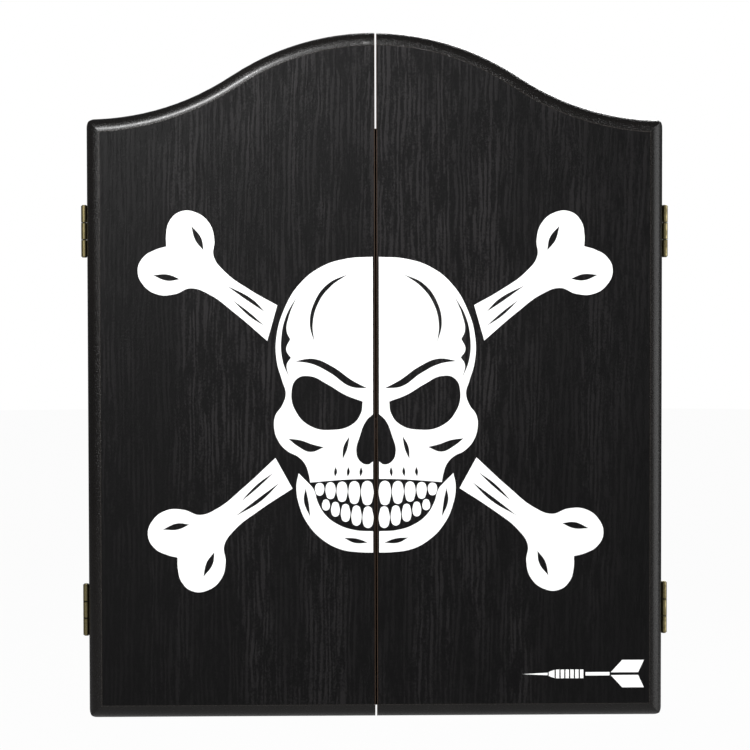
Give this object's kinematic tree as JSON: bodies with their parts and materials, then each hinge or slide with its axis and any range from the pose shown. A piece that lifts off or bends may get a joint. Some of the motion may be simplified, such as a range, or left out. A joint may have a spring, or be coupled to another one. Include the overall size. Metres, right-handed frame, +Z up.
{
  "type": "dart board cabinet",
  "caption": "Shallow square wall cabinet for a dart board, with two black wood-grain doors meeting under an arched top, on brass butt hinges, with writing boards and dart racks inside.",
  "frame": {"origin": "centre of the four wall-screw holes on the back face, which is also the dart board's centre", "axes": "+X right seen from the front, +Y back into the wall, +Z up; the doors face -Y"},
  "size_m": [0.5116, 0.0898, 0.595],
  "materials": {
    "door_foil": "black ash grain foil, satin",
    "box_foil": "plain black foil, satin",
    "back_board": "black-faced hardboard, brown rear",
    "black_moulding": "black stained wood, satin",
    "beech": "clear lacquered beech",
    "chalk_board": "matt writing surface",
    "hinge_brass": "brassed steel, slightly aged",
    "zinc_steel": "zinc plated",
    "catch_plastic": "black moulded",
    "ferrite": "sintered ferrite"
  },
  "bodies": {
    "cabinet": {"side_panel_left": "box_foil", "side_panel_right": "box_foil", "top_panel": "box_foil", "bottom_panel": "box_foil", "back_panel": "back_board", "corner_dowels": "beech", "back_panel_pins": "zinc_steel", "board_bracket": "zinc_steel", "board_bracket_screws": "zinc_steel", "box_leaf_screws": "hinge_brass", "upper_catch_housing": "catch_plastic", "upper_catch_magnets": "ferrite", "upper_catch_pole_plates": "zinc_steel", "upper_catch_screws": "zinc_steel", "lower_catch_housing": "catch_plastic", "lower_catch_magnets": "ferrite", "lower_catch_pole_plates": "zinc_steel", "lower_catch_screws": "zinc_steel", "left_upper_hinge_box_leaf": "hinge_brass", "left_upper_hinge_pin": "hinge_brass", "left_lower_hinge_box_leaf": "hinge_brass", "left_lower_hinge_pin": "hinge_brass", "right_upper_hinge_box_leaf": "hinge_brass", "right_upper_hinge_pin": "hinge_brass", "right_lower_hinge_box_leaf": "hinge_brass", "right_lower_hinge_pin": "hinge_brass"},
    "left_door": {"left_door_panel": "door_foil", "left_scoreboard": "chalk_board", "left_scoreboard_trim": "black_moulding", "left_chalk_ledge": "black_moulding", "left_dart_rack": "beech", "left_dart_rack_screws": "zinc_steel", "left_strike_plates": "zinc_steel", "left_strike_screws": "zinc_steel", "left_upper_hinge_door_leaf": "hinge_brass", "left_lower_hinge_door_leaf": "hinge_brass", "left_door_leaf_screws": "hinge_brass"},
    "right_door": {"right_door_panel": "door_foil", "right_scoreboard": "chalk_board", "right_scoreboard_trim": "black_moulding", "right_chalk_ledge": "black_moulding", "right_dart_rack": "beech", "right_dart_rack_screws": "zinc_steel", "right_strike_plates": "zinc_steel", "right_strike_screws": "zinc_steel", "right_upper_hinge_door_leaf": "hinge_brass", "right_lower_hinge_door_leaf": "hinge_brass", "right_door_leaf_screws": "hinge_brass"}
  },
  "joints": [
    {"name": "left_door_swing", "type": "hinge", "parent": "cabinet", "child": "left_door", "pos_m": [-0.253, -0.0734, 0], "axis": [0, 0, -1], "range_deg": [0, 180]},
    {"name": "right_door_swing", "type": "hinge", "parent": "cabinet", "child": "right_door", "pos_m": [0.253, -0.0734, 0], "axis": [0, 0, 1], "range_deg": [0, 180]}
  ]
}
